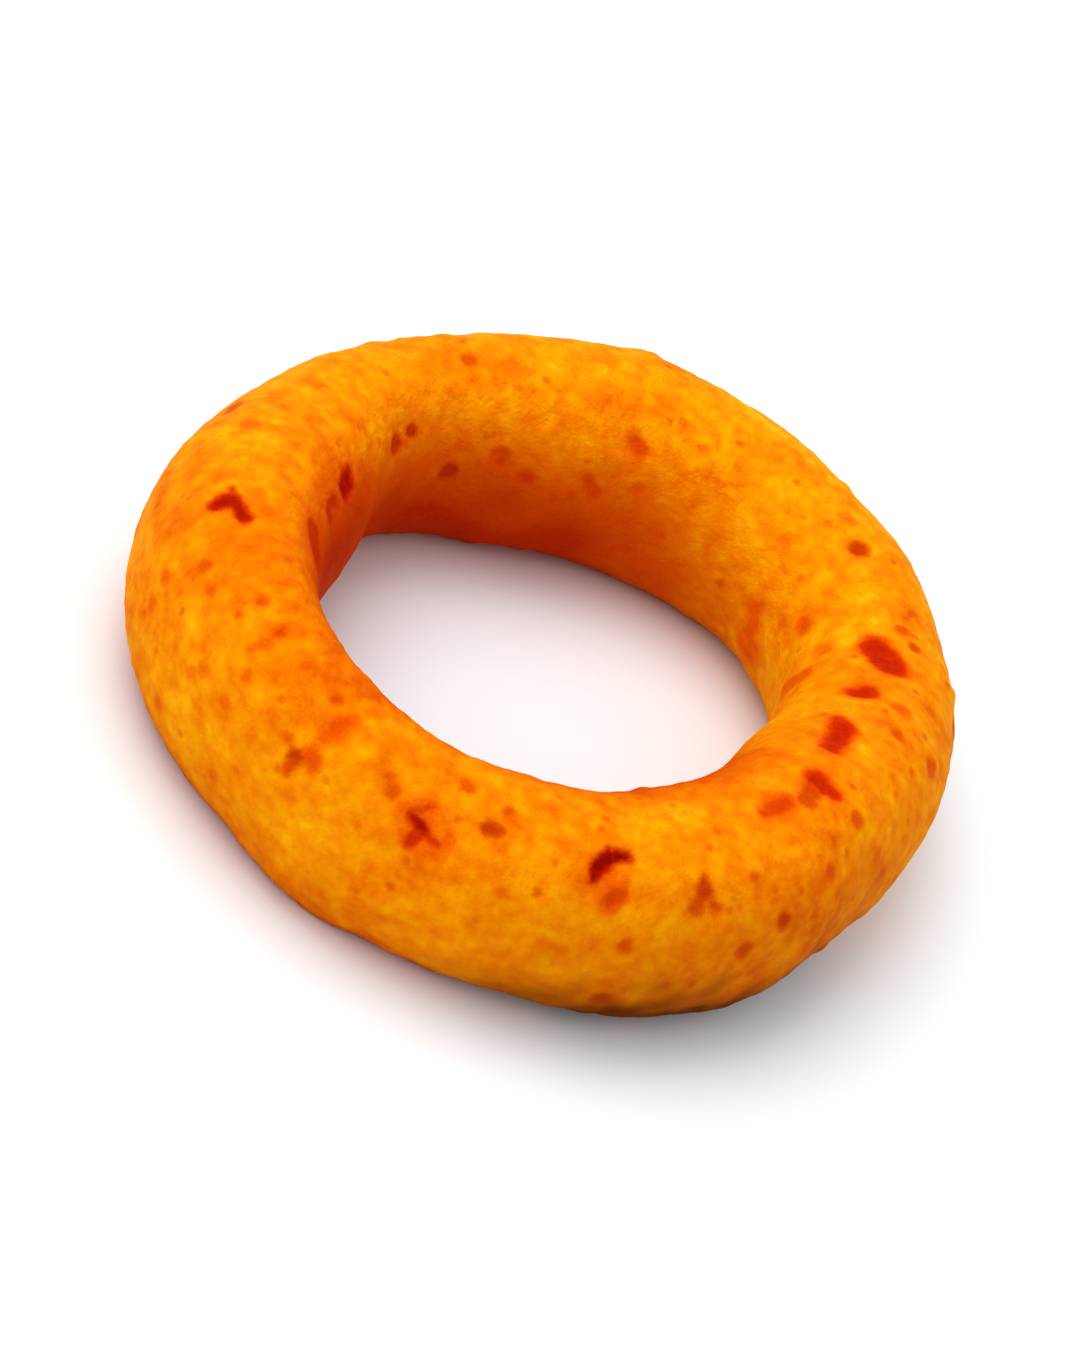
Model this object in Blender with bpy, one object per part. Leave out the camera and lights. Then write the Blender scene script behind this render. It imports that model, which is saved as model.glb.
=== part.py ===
"""One battered and deep-fried onion ring, lying flat on its underside.

Metres, +Z up. The origin is under the middle of the ring, on the surface that it rests on.
The ring is one solid: a tube, taller than it is wide, that closes on itself round an egg-shaped hole.
"""

import math
import random
from collections import namedtuple

import bmesh
import bpy
from mathutils import Vector

MM = 0.001

# A wave goes round the ring: its number of lobes, its amplitude, and the angle that sets its crest, in degrees.
Wave = namedtuple("Wave", "lobes amplitude angle")
# A lump is a round swelling of the crust, or a hollow where its height is negative.
# Turn is the angle round the ring and section the angle round the tube, both in degrees.
# A section of 0 is the outer side, 90 the crest, 180 the hole's wall and 270 the underside.
Lump = namedtuple("Lump", "turn section spread height")

# The tube's centre line, seen from above: nearly round, a little longer one way, and uneven.
CENTRE_RADIUS = 31.7 * MM
CENTRE_WAVES = (
    Wave(1, 0.98 * MM, 33),
    Wave(2, 2.94 * MM, 131),
    Wave(3, 0.50 * MM, 176),
    Wave(4, 0.63 * MM, -136),
    Wave(5, 0.16 * MM, 31),
    Wave(6, 0.22 * MM, 126),
)
# The tube's own section: a rounded oblong, upright, thicker in some stretches than in others.
HALF_WIDTH = 8.5 * MM
WIDTH_WAVES = (
    Wave(1, 0.78 * MM, 34),
    Wave(2, 0.36 * MM, -61),
    Wave(3, 0.90 * MM, -132),
    Wave(4, 0.64 * MM, 48),
)
HALF_HEIGHT = 10.4 * MM
HEIGHT_WAVES = (
    Wave(1, 0.52 * MM, -153),
    Wave(2, 0.18 * MM, -20),
    Wave(3, 0.52 * MM, -60),
)
SQUARENESS = 2.15  # 2 is an ellipse

# Where the batter ran thick or thin before it set: round the outside, then in the hole.
SWELLINGS = (
    Lump(15, 17, 3.8 * MM, -0.13 * MM),
    Lump(34, 38, 3.8 * MM, -0.21 * MM),
    Lump(52, 49, 3.8 * MM, 0.27 * MM),
    Lump(67, 54, 3.8 * MM, -0.25 * MM),
    Lump(82, 56, 3.8 * MM, -0.17 * MM),
    Lump(98, 56, 3.8 * MM, 0.38 * MM),
    Lump(116, 55, 3.8 * MM, 0.14 * MM),
    Lump(136, 53, 3.8 * MM, -0.13 * MM),
    Lump(157, 41, 3.8 * MM, 0.22 * MM),
    Lump(240, 300, 3.8 * MM, -0.38 * MM),
    Lump(256, 300, 3.8 * MM, 0.63 * MM),
    Lump(287, 309, 3.8 * MM, -0.27 * MM),
    Lump(303, 314, 3.8 * MM, 0.19 * MM),
    Lump(320, 324, 3.8 * MM, 0.39 * MM),
    Lump(337, 339, 3.8 * MM, -0.49 * MM),
    Lump(61, 232, 3.0 * MM, -0.12 * MM),
    Lump(74, 235, 3.0 * MM, 0.24 * MM),
    Lump(293, 131, 3.0 * MM, -0.30 * MM),
    Lump(310, 138, 3.0 * MM, 0.15 * MM),
    Lump(343, 161, 3.0 * MM, -0.24 * MM),
)
# Burst blisters, each a shallow pit that browned.
PIT_DEPTH = 0.30 * MM
PITS = (
    Lump(211, 72, 1.6 * MM, -PIT_DEPTH),
    Lump(187, 128, 1.4 * MM, -PIT_DEPTH),
    Lump(153, 139, 1.4 * MM, -PIT_DEPTH),
    Lump(93, 136, 1.2 * MM, -PIT_DEPTH),
    Lump(51, 95, 1.2 * MM, -PIT_DEPTH),
    Lump(26, 104, 2.0 * MM, -PIT_DEPTH),
    Lump(12, 108, 1.2 * MM, -PIT_DEPTH),
    Lump(352, 101, 1.6 * MM, -PIT_DEPTH),
    Lump(335, 87, 1.6 * MM, -PIT_DEPTH),
    Lump(324, 87, 1.4 * MM, -PIT_DEPTH),
    Lump(307, 47, 1.6 * MM, -PIT_DEPTH),
    Lump(293, 66, 1.9 * MM, -PIT_DEPTH),
    Lump(275, 60, 1.2 * MM, -PIT_DEPTH),
    Lump(267, 39, 1.8 * MM, -PIT_DEPTH),
    Lump(248, 24, 1.3 * MM, -PIT_DEPTH),
)

# Low undulations all over the crust, scattered by a rule.
RIPPLE_COUNT = 90
RIPPLE_SPREAD = (2.6 * MM, 4.6 * MM)
RIPPLE_HEIGHT = 0.22 * MM
RIPPLE_SEED = 11
GOLDEN_TURN = 180 * (3 - math.sqrt(5))

# The underside is pressed flat where the ring lies on it, with a rounded edge to the flat.
FOOT_DEPTH = 0.45 * MM
FOOT_ROUNDING = 0.15 * MM

# How far, in radians, the tube's direction is measured each way from a point.
NORMAL_STEP = 0.01
TURN_STEPS = 112
SECTION_STEPS = 40

CRUST_COLOUR = (0.90, 0.30, 0.02, 1.0)
CRUST_ROUGHNESS = 0.55


def clear_scene():
    for obj in list(bpy.data.objects):
        bpy.data.objects.remove(obj)


def wave_sum(level, waves, turn):
    """The level with every wave added, at this angle round the ring, in radians."""
    return level + sum(
        wave.amplitude * math.cos(wave.lobes * turn - math.radians(wave.angle))
        for wave in waves
    )


def squared(value):
    """A sine or cosine pushed outwards, which turns an ellipse into a rounded oblong."""
    return math.copysign(abs(value) ** (2 / SQUARENESS), value)


def tube_point(turn, section):
    """A point of the plain tube, with neither lumps nor foot. Both angles are in radians."""
    half_width = wave_sum(HALF_WIDTH, WIDTH_WAVES, turn)
    half_height = wave_sum(HALF_HEIGHT, HEIGHT_WAVES, turn)
    reach = wave_sum(CENTRE_RADIUS, CENTRE_WAVES, turn)
    reach += half_width * squared(math.cos(section))
    height = half_height * (1 + squared(math.sin(section)))
    return Vector((reach * math.cos(turn), reach * math.sin(turn), height))


def tube_normal(turn, section):
    """The outward direction there, from a short step each way."""
    along = tube_point(turn + NORMAL_STEP, section) - tube_point(turn - NORMAL_STEP, section)
    across = tube_point(turn, section + NORMAL_STEP) - tube_point(turn, section - NORMAL_STEP)
    return along.cross(across).normalized()


def ripples():
    """The scattered undulations: even round the ring, and random round the tube."""
    draw = random.Random(RIPPLE_SEED)
    return [
        Lump(
            (index * GOLDEN_TURN) % 360,
            draw.uniform(0, 360),
            draw.uniform(*RIPPLE_SPREAD),
            draw.uniform(-RIPPLE_HEIGHT, RIPPLE_HEIGHT),
        )
        for index in range(RIPPLE_COUNT)
    ]


def placed(lumps):
    """Each lump's centre on the plain tube, with its spread and height."""
    return [
        (
            tube_point(math.radians(lump.turn), math.radians(lump.section)),
            lump.spread,
            lump.height,
        )
        for lump in lumps
    ]


def relief(point, lumps):
    """How far the lumps, each a bell curve of the distance to its centre, raise the crust here."""
    return sum(
        height * math.exp(-(point - centre).length_squared / (2 * spread * spread))
        for centre, spread, height in lumps
    )


def footed(height):
    """The height once the underside is pressed flat: exactly 0 over the foot, and eased in at its edge."""
    above = height - FOOT_DEPTH
    if above <= -FOOT_ROUNDING:
        return 0.0
    if above < FOOT_ROUNDING:
        return (above + FOOT_ROUNDING) ** 2 / (4 * FOOT_ROUNDING)
    return above


def crust_point(turn, section, lumps):
    """A point of the finished crust."""
    point = tube_point(turn, section)
    point += tube_normal(turn, section) * relief(point, lumps)
    point.z = footed(point.z)
    return point


def spun_ring():
    """A plain round ring: one section loop, spun once round the Z axis."""
    mesh = bmesh.new()
    loop = bmesh.ops.create_circle(mesh, segments=SECTION_STEPS, radius=HALF_WIDTH)
    for vert in loop["verts"]:
        vert.co = Vector((CENTRE_RADIUS + vert.co.x, 0, vert.co.y))
    bmesh.ops.spin(
        mesh,
        geom=mesh.verts[:] + mesh.edges[:],
        cent=(0, 0, 0),
        axis=(0, 0, 1),
        angle=math.tau,
        steps=TURN_STEPS,
        use_merge=True,
    )
    return mesh


def form_crust(mesh):
    """Moves each vertex from its place on the plain ring to its place on the crust."""
    lumps = placed(SWELLINGS + PITS + tuple(ripples()))
    for vert in mesh.verts:
        turn = math.atan2(vert.co.y, vert.co.x)
        out = math.hypot(vert.co.x, vert.co.y) - CENTRE_RADIUS
        vert.co = crust_point(turn, math.atan2(vert.co.z, out), lumps)


def centre_on_origin(mesh):
    """Puts the middle of the ring's outer box over the origin."""
    for axis in (0, 1):
        places = [vert.co[axis] for vert in mesh.verts]
        middle = (min(places) + max(places)) / 2
        for vert in mesh.verts:
            vert.co[axis] -= middle


def crust_material():
    material = bpy.data.materials.new("fried_batter")
    material.use_nodes = True
    shader = material.node_tree.nodes["Principled BSDF"]
    shader.inputs["Base Color"].default_value = CRUST_COLOUR
    shader.inputs["Roughness"].default_value = CRUST_ROUGHNESS
    shader.inputs["Metallic"].default_value = 0.0
    return material


def onion_ring():
    mesh = spun_ring()
    form_crust(mesh)
    centre_on_origin(mesh)
    bmesh.ops.recalc_face_normals(mesh, faces=mesh.faces)
    data = bpy.data.meshes.new("onion_ring")
    mesh.to_mesh(data)
    mesh.free()
    data.shade_smooth()
    data.materials.append(crust_material())
    ring = bpy.data.objects.new("onion_ring", data)
    bpy.context.scene.collection.objects.link(ring)
    return ring


def main():
    clear_scene()
    onion_ring()


main()
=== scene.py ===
"""The looks of one battered and deep-fried onion ring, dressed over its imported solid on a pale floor.

The crust is one closed surface, worked out on a grid of two angles: the turn round the ring, and the section
round its tube. A section of 0 degrees is the outer side, 90 the crest, 180 the wall of the hole and 270 the
underside. Sizes are in metres. The places of features are turn and section, in degrees.
"""

import logging
import math
import random
from collections.abc import Sequence
from dataclasses import dataclass
from enum import Enum
from typing import Any

import bpy
import numpy as np
from mathutils import Matrix


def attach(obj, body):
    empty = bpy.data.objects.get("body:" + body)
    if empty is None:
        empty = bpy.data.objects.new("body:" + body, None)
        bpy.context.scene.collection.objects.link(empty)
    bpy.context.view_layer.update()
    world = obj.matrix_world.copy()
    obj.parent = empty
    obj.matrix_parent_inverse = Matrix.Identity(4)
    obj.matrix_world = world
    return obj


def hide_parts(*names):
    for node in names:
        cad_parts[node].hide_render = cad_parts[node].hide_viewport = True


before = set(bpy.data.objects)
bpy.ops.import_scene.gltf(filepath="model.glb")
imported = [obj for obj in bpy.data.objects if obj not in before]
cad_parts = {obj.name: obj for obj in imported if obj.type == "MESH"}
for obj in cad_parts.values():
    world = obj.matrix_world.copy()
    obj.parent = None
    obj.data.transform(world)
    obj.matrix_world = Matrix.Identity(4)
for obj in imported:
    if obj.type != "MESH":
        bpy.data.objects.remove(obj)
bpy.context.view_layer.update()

MM = 0.001
NODE = "onion_ring"
GOLDEN_TURN = 180 * (3 - math.sqrt(5))
LOG = logging.getLogger(NODE)

Array = np.ndarray
Colour = tuple[float, float, float, float]
Stops = tuple[tuple[float, Colour], ...]
# Where something starts, and where it is full or ends.
Span = tuple[float, float]
# A turn and a section in degrees, and a width in millimetres.
Place = tuple[float, float, float]


def rise(values: Array, start: Array | float, end: Array | float) -> Array:
    """Works out an S from 0 at the start to 1 at the end.

    It is three times the square less twice the cube of the way from start to end, held between 0 and 1.

    Args:
        values: the numbers to place between the two.
        start: where it starts. It may lie above the end.
        end: where it is full.

    Returns:
        Shares from 0 to 1.
    """
    way = np.clip((values - start) / (end - start), 0, 1)
    return way * way * (3 - 2 * way)


def scattered_turns(count: int) -> list[float]:
    """Turns all round the ring, in degrees, each a golden turn past the one before."""
    return [(index * GOLDEN_TURN) % 360 for index in range(count)]


@dataclass(frozen=True)
class Wave:
    """A cosine that goes round the ring: its lobes, its height, and the angle that sets its crest."""

    lobes: int
    amplitude: float
    angle: float

    def at(self, turn: Array) -> Array:
        """Its height at these turns, in radians: the amplitude times cos(lobes times turn less the angle)."""
        return self.amplitude * np.cos(self.lobes * turn - math.radians(self.angle))


@dataclass(frozen=True)
class Lump:
    """A round swelling of the crust, with the profile of a bell curve. A height below 0 makes a hollow."""

    turn: float
    section: float
    spread: float
    height: float


@dataclass(frozen=True)
class Tube:
    """The plain tube: an upright rounded oblong, carried round an uneven line that closes on itself."""

    centre_radius: float = 31.7 * MM
    centre_waves: tuple[Wave, ...] = (
        Wave(1, 0.98 * MM, 33),
        Wave(2, 2.94 * MM, 131),
        Wave(3, 0.50 * MM, 176),
        Wave(4, 0.63 * MM, -136),
        Wave(5, 0.16 * MM, 31),
        Wave(6, 0.22 * MM, 126),
    )
    half_width: float = 8.5 * MM
    width_waves: tuple[Wave, ...] = (
        Wave(1, 0.78 * MM, 34),
        Wave(2, 0.36 * MM, -61),
        Wave(3, 0.90 * MM, -132),
        Wave(4, 0.64 * MM, 48),
    )
    half_height: float = 10.4 * MM
    height_waves: tuple[Wave, ...] = (
        Wave(1, 0.52 * MM, -153),
        Wave(2, 0.18 * MM, -20),
        Wave(3, 0.52 * MM, -60),
    )
    squareness: float = 2.15
    normal_step: float = 0.01

    def squared(self, values: Array) -> Array:
        """Sines or cosines raised to two over the squareness, with their signs kept."""
        return np.sign(values) * np.abs(values) ** (2 / self.squareness)

    def points(self, turn: Array, section: Array) -> Array:
        """Works out points of the plain tube.

        The reach from the upright axis is the centre line's radius plus the half width times the squared-off
        cosine of the section. The height is the half height times one plus the squared-off sine. The radius
        and both halves are a level plus waves of the turn.

        Args:
            turn: angles round the ring, in radians.
            section: angles round the tube, in radians, of the same shape.

        Returns:
            The points, with their three coordinates along the last axis.
        """
        radius = self.centre_radius + sum(wave.at(turn) for wave in self.centre_waves)
        half_width = self.half_width + sum(wave.at(turn) for wave in self.width_waves)
        half_height = self.half_height + sum(wave.at(turn) for wave in self.height_waves)
        reach = radius + half_width * self.squared(np.cos(section))
        height = half_height * (1 + self.squared(np.sin(section)))
        return np.stack([reach * np.cos(turn), reach * np.sin(turn), height], axis=-1)

    def normals(self, turn: Array, section: Array) -> Array:
        """Works out the outward directions: the cross product of a short step along and a short step across.

        Args:
            turn: angles round the ring, in radians.
            section: angles round the tube, in radians.

        Returns:
            Unit vectors along the last axis.
        """
        step = self.normal_step
        along = self.points(turn + step, section) - self.points(turn - step, section)
        across = self.points(turn, section + step) - self.points(turn, section - step)
        outward = np.cross(along, across)
        return outward / np.linalg.norm(outward, axis=-1, keepdims=True)

    def place(self, turn: float, section: float) -> Array:
        """The point at one place, given in degrees."""
        return self.points(np.radians(turn), np.radians(section))


@dataclass(frozen=True)
class SpaceNoise:
    """Smooth noise in space: a random slope at each corner of a cubic lattice, blended between the corners.

    The gain brings the blend to about 1 at its highest, and the strength multiplies that.
    """

    width: float
    seed: int
    strength: float
    gain: float = 1.6
    table_size: int = 256

    def at(self, points: Array) -> Array:
        """Works out the noise.

        Each corner of the lattice cell gives its slope times the way from that corner to the point, and the
        eight are blended by the smooth weights six t to the fifth, less fifteen t to the fourth, plus ten t
        cubed.

        Args:
            points: coordinates along the last axis, in metres.

        Returns:
            Values from about the strength below 0 to the strength above it.
        """
        draw = np.random.RandomState(self.seed)
        table = draw.permutation(self.table_size)
        slopes = draw.normal(size=(self.table_size, 3))
        slopes /= np.linalg.norm(slopes, axis=1, keepdims=True)
        scaled = points / self.width
        cell = np.floor(scaled).astype(np.int64)
        inside = scaled - cell
        blend = inside**3 * (inside * (6 * inside - 15) + 10)
        total = np.zeros(points.shape[:-1])
        for corner in np.ndindex(2, 2, 2):
            x, y, z = np.moveaxis(cell + corner, -1, 0) % self.table_size
            key = table[(table[(table[x] + y) % self.table_size] + z) % self.table_size]
            ramp = np.sum(slopes[key] * (inside - corner), axis=-1)
            weight = np.prod(np.where(corner, blend, 1 - blend), axis=-1)
            total += ramp * weight
        return self.strength * self.gain * total


class Burn(Enum):
    """How far a spot of the crust has browned, from 0 for a blush to 1 for nearly black."""

    BLUSH = 0.12
    AMBER = 0.30
    TAWNY = 0.42
    RUSSET = 0.52
    BROWN = 0.64
    RED = 0.76
    SCARLET = 0.86
    DARK = 0.93


@dataclass(frozen=True)
class Scorch:
    """A browned spot: a stroke drawn on the crust through one or more places, each with its own width.

    The halo is the reach of the orange blush round it, or 0 for none.
    """

    burn: Burn
    places: tuple[Place, ...]
    halo: float = 0.0

    def inward(self, tube: Tube, points: Array) -> Array:
        """Works out how far points lie inside the stroke's edge.

        It is half the width less the distance to the stroke's line, the greatest over its straight runs.
        Along a run the width changes evenly from one place's to the next one's.

        Args:
            tube: the plain tube, on which the places lie.
            points: points of the plain tube.

        Returns:
            Distances in metres, below 0 outside.
        """
        stops = [tube.place(turn, section) for turn, section, _ in self.places]
        halves = [width * MM / 2 for _, _, width in self.places]
        most = halves[0] - np.linalg.norm(points - stops[0], axis=-1)
        for start, end, first, last in zip(stops, stops[1:], halves, halves[1:]):
            run = end - start
            share = np.clip((points - start) @ run / (run @ run), 0, 1)
            gap = np.linalg.norm(points - start - share[..., None] * run, axis=-1)
            most = np.maximum(most, first + (last - first) * share - gap)
        return most


# Where the batter ran thick or thin before it set: round the outside, then in the hole.
SWELLINGS = (
    Lump(15, 17, 3.8 * MM, -0.13 * MM),
    Lump(34, 38, 3.8 * MM, -0.21 * MM),
    Lump(52, 49, 3.8 * MM, 0.27 * MM),
    Lump(67, 54, 3.8 * MM, -0.25 * MM),
    Lump(82, 56, 3.8 * MM, -0.17 * MM),
    Lump(98, 56, 3.8 * MM, 0.38 * MM),
    Lump(116, 55, 3.8 * MM, 0.14 * MM),
    Lump(136, 53, 3.8 * MM, -0.13 * MM),
    Lump(157, 41, 3.8 * MM, 0.22 * MM),
    Lump(240, 300, 3.8 * MM, -0.38 * MM),
    Lump(256, 300, 3.8 * MM, 0.63 * MM),
    Lump(287, 309, 3.8 * MM, -0.27 * MM),
    Lump(303, 314, 3.8 * MM, 0.19 * MM),
    Lump(320, 324, 3.8 * MM, 0.39 * MM),
    Lump(337, 339, 3.8 * MM, -0.49 * MM),
    Lump(61, 232, 3.0 * MM, -0.12 * MM),
    Lump(74, 235, 3.0 * MM, 0.24 * MM),
    Lump(293, 131, 3.0 * MM, -0.30 * MM),
    Lump(310, 138, 3.0 * MM, 0.15 * MM),
    Lump(343, 161, 3.0 * MM, -0.24 * MM),
)

# Burst blisters, each a shallow pit that browned.
PIT_DEPTH = 0.30 * MM
PITS = (
    Lump(211, 72, 1.6 * MM, -PIT_DEPTH),
    Lump(187, 128, 1.4 * MM, -PIT_DEPTH),
    Lump(153, 139, 1.4 * MM, -PIT_DEPTH),
    Lump(93, 136, 1.2 * MM, -PIT_DEPTH),
    Lump(51, 95, 1.2 * MM, -PIT_DEPTH),
    Lump(26, 104, 2.0 * MM, -PIT_DEPTH),
    Lump(12, 108, 1.2 * MM, -PIT_DEPTH),
    Lump(352, 101, 1.6 * MM, -PIT_DEPTH),
    Lump(335, 87, 1.6 * MM, -PIT_DEPTH),
    Lump(324, 87, 1.4 * MM, -PIT_DEPTH),
    Lump(307, 47, 1.6 * MM, -PIT_DEPTH),
    Lump(293, 66, 1.9 * MM, -PIT_DEPTH),
    Lump(275, 60, 1.2 * MM, -PIT_DEPTH),
    Lump(267, 39, 1.8 * MM, -PIT_DEPTH),
    Lump(248, 24, 1.3 * MM, -PIT_DEPTH),
)

# Small crisp nibs of batter that break the outline.
NIBS = (
    Lump(96, 57, 0.55 * MM, 0.34 * MM),
    Lump(64, 55, 0.60 * MM, 0.28 * MM),
    Lump(26, 42, 0.60 * MM, 0.30 * MM),
    Lump(338, 338, 0.70 * MM, 0.26 * MM),
    Lump(264, 318, 0.60 * MM, 0.28 * MM),
    Lump(150, 30, 0.60 * MM, 0.30 * MM),
)

# Where the crust is lighter, with a height above 0, or darker. Most are the batter's own tone; those marked
# below are painted light.
TONES_AND_PAINTED_LIGHT = (
    Lump(44, 112, 6.0 * MM, 0.04),
    Lump(80, 100, 8.0 * MM, 0.06),
    Lump(15, 60, 5.0 * MM, -0.20),
    Lump(345, 62, 4.0 * MM, 0.10),
    Lump(300, 40, 4.0 * MM, 0.10),
    Lump(264, 88, 6.0 * MM, -0.12),
    Lump(225, 15, 6.0 * MM, 0.08),
    Lump(270, 345, 6.0 * MM, -0.10),
    # A painted highlight on the crest at the left end.
    Lump(196, 80, 3.0 * MM, 0.20),
    Lump(285, 60, 6.0 * MM, -0.06),
    Lump(345, 35, 8.0 * MM, -0.06),
    Lump(140, 105, 6.0 * MM, -0.08),
    Lump(212, 30, 9.0 * MM, -0.07),
    Lump(212, 75, 7.0 * MM, -0.10),
    Lump(245, 88, 5.0 * MM, -0.16),
    Lump(256, 30, 5.0 * MM, 0.15),
    Lump(196, 122, 4.0 * MM, -0.18),
    Lump(248, 104, 4.0 * MM, -0.28),
    Lump(315, 45, 5.0 * MM, -0.06),
    Lump(332, 100, 4.0 * MM, -0.12),
    # Painted light: lighter on the hole's right wall, which faces the light.
    Lump(40, 180, 5.0 * MM, 0.06),
    # This and the next two: painted shade low on the outer side at the front right.
    Lump(300, 355, 6.0 * MM, -0.12),
    Lump(325, 0, 6.0 * MM, -0.22),
    Lump(343, 2, 5.0 * MM, -0.14),
    Lump(226, 112, 5.0 * MM, -0.14),
    Lump(280, 8, 4.0 * MM, 0.14),
    # Painted shade on the outer side at the left end.
    Lump(198, 25, 5.0 * MM, -0.12),
    Lump(305, 75, 4.0 * MM, 0.10),
    Lump(352, 72, 3.0 * MM, -0.12),
    Lump(214, 47, 3.0 * MM, -0.14),
)

# The browned spots that show and have a form of their own, or a blush round them.
STROKES = (
    # The bent arrow at the left end: its shaft, its tip and its leg.
    Scorch(Burn.SCARLET, ((208.5, 60, 1.9), (208, 68, 2.0))),
    Scorch(Burn.RED, ((207.5, 68, 1.1), (205.5, 69, 0.5))),
    Scorch(Burn.SCARLET, ((208.5, 70, 1.6), (212.5, 75, 1.7))),
    # In front of it: a spot on the hole's rim, the foot and side of a drop, a slash, a dash and a streak.
    Scorch(Burn.BROWN, ((210, 126, 2.4), (216, 136, 2.4)), 1.6 * MM),
    Scorch(Burn.RUSSET, ((248, 24, 1.3), (248, 17, 0.8))),
    Scorch(Burn.AMBER, ((250, 31, 1.5), (250.7, 28, 0.8)), 0.8 * MM),
    Scorch(Burn.AMBER, ((250, 49, 1.0), (250.5, 57, 1.4), (251.5, 65, 0.7)), 0.8 * MM),
    Scorch(Burn.AMBER, ((234, 46, 0.9), (235, 57, 0.8))),
    Scorch(Burn.BLUSH, ((228.5, 7, 1.0), (231, 17, 1.0))),
    # In the hole: the tall spot and its tail, and a short mark on the far wall.
    Scorch(Burn.SCARLET, ((183, 127, 1.1), (185.6, 129.6, 2.4), (189, 132, 2.2)), 0.6 * MM),
    Scorch(Burn.BROWN, ((196, 131, 1.5), (199, 129, 0.9))),
    Scorch(Burn.TAWNY, ((100, 160, 1.1), (97, 167, 1.4))),
    # Inside the far crest: a dash and a streak.
    Scorch(Burn.TAWNY, ((93.5, 132.5, 1.1), (91.5, 137, 1.2)), 0.8 * MM),
    Scorch(Burn.BLUSH, ((75, 121, 0.9), (73, 125, 0.9))),
    # Along the crest at the right: a thin streak, then the row of five spots, the fourth with a tail.
    Scorch(Burn.TAWNY, ((36, 84, 0.9), (38, 77, 0.5))),
    Scorch(Burn.RED, ((28.5, 105, 3.2), (23.5, 95, 3.5)), 0.7 * MM),
    Scorch(Burn.RED, ((12.5, 111, 1.9), (13, 105, 2.4), (13, 102, 1.2)), 0.8 * MM),
    Scorch(Burn.RED, ((358.5, 107, 1.4), (356, 101, 2.6), (347.5, 98, 2.0)), 0.7 * MM),
    Scorch(Burn.RED, ((336.6, 90, 2.2), (336.3, 86, 2.3), (337, 78.5, 1.5)), 0.7 * MM),
    Scorch(Burn.RUSSET, ((334.5, 88, 2.0), (331, 84, 1.9))),
    Scorch(Burn.RUSSET, ((321, 87, 1.0), (324, 88, 1.7), (327, 88, 1.5)), 0.7 * MM),
    # Down the hole's right wall: a slash and a streak.
    Scorch(Burn.AMBER, ((29.5, 171, 1.7), (27, 152, 1.6))),
    Scorch(Burn.BLUSH, ((54.5, 176, 1.2), (52, 197, 1.9)), 1.3 * MM),
    # At the front: a tick, the fork with its two legs and its branch, and a short dash.
    Scorch(Burn.TAWNY, ((260, 53, 1.1), (261.5, 47, 1.1))),
    Scorch(Burn.SCARLET, ((265, 43, 1.1), (266.5, 41, 1.4), (267.5, 39, 1.2)), 1.6 * MM),
    Scorch(Burn.RED, ((267, 38, 1.1), (266.5, 29, 1.1))),
    Scorch(Burn.RED, ((267.5, 39, 1.1), (269.5, 37, 0.6)), 1.8 * MM),
    Scorch(Burn.RUSSET, ((265.5, 47, 1.1), (266.5, 54, 0.6))),
    Scorch(Burn.BROWN, ((274.7, 60, 1.2), (275.8, 60, 1.2))),
    # The dark arc, with the blush inside it and the spot under it.
    Scorch(Burn.DARK, ((290.5, 50, 0.8), (291, 58, 1.8), (293, 67, 1.7), (294.9, 67, 1.3))),
    Scorch(Burn.BLUSH, ((292.5, 54, 0.5), (293, 49, 0.5)), 1.8 * MM),
    Scorch(Burn.RUSSET, ((294.7, 45, 1.1), (293.5, 40, 1.4)), 0.6 * MM),
    # Low at the front: a dash and a faint open ring.
    Scorch(Burn.AMBER, ((279.3, 29, 0.8), (280.5, 27, 0.9))),
    Scorch(Burn.BLUSH, ((286, 6, 0.7), (287, 11, 0.8), (289.5, 9, 0.7), (289.5, 359, 0.7))),
    # At the front right: the tall spot with its two legs.
    Scorch(Burn.BROWN, ((307, 57, 0.8), (307.2, 49, 1.7))),
    Scorch(Burn.RUSSET, ((307, 47, 1.3), (306, 40, 1.3))),
    Scorch(Burn.RUSSET, ((307.7, 47, 1.1), (309.2, 40, 1.2))),
)

# The round ones that show, by how far they browned, each group from the left end to the front right.
DOTS: dict[Burn, tuple[Place, ...]] = {
    Burn.BLUSH: (
        (187.5, 66, 2.1), (201, 96, 1.1), (235.5, 15, 1.2), (81.5, 122, 1.1), (57.5, 90, 1.9),
        (32, 141, 2.1), (342, 34, 1.5),
    ),
    Burn.AMBER: (
        (245.5, 29, 1.2), (222.5, 42, 1.2), (215.5, 6, 1.7), (225, 338, 1.6), (236, 34, 1.1),
        (215, 20, 1.3), (88, 158, 1.4), (87, 112, 1.1), (10.5, 83, 2.0), (42, 151, 1.9),
    ),
    Burn.TAWNY: (
        (218.5, 43, 1.5), (228.5, 67, 1.3), (247.5, 69, 1.1), (123, 158, 1.9), (131.5, 97, 1.6),
        (33, 88, 1.4), (3, 77, 1.7), (4.5, 47, 2.2), (338.5, 59, 1.6), (329.5, 43, 1.4),
        (269.5, 79, 1.4), (276.5, 74, 1.2), (297.5, 18, 1.5),
    ),
    Burn.RUSSET: (
        (234.5, 66, 1.4), (114.5, 167, 1.5), (29.5, 81, 1.3), (315, 14, 1.8),
    ),
    Burn.BROWN: (
        (200.5, 134, 1.8), (248, 24.5, 1.5), (154.5, 143, 2.1), (149, 140, 1.5), (135, 170, 2.0),
        (51.5, 95, 2.2), (320.5, 27, 1.6), (298, 343, 1.9),
    ),
}

SCORCHES = STROKES + tuple(Scorch(burn, (place,)) for burn, places in DOTS.items() for place in places)


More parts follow.
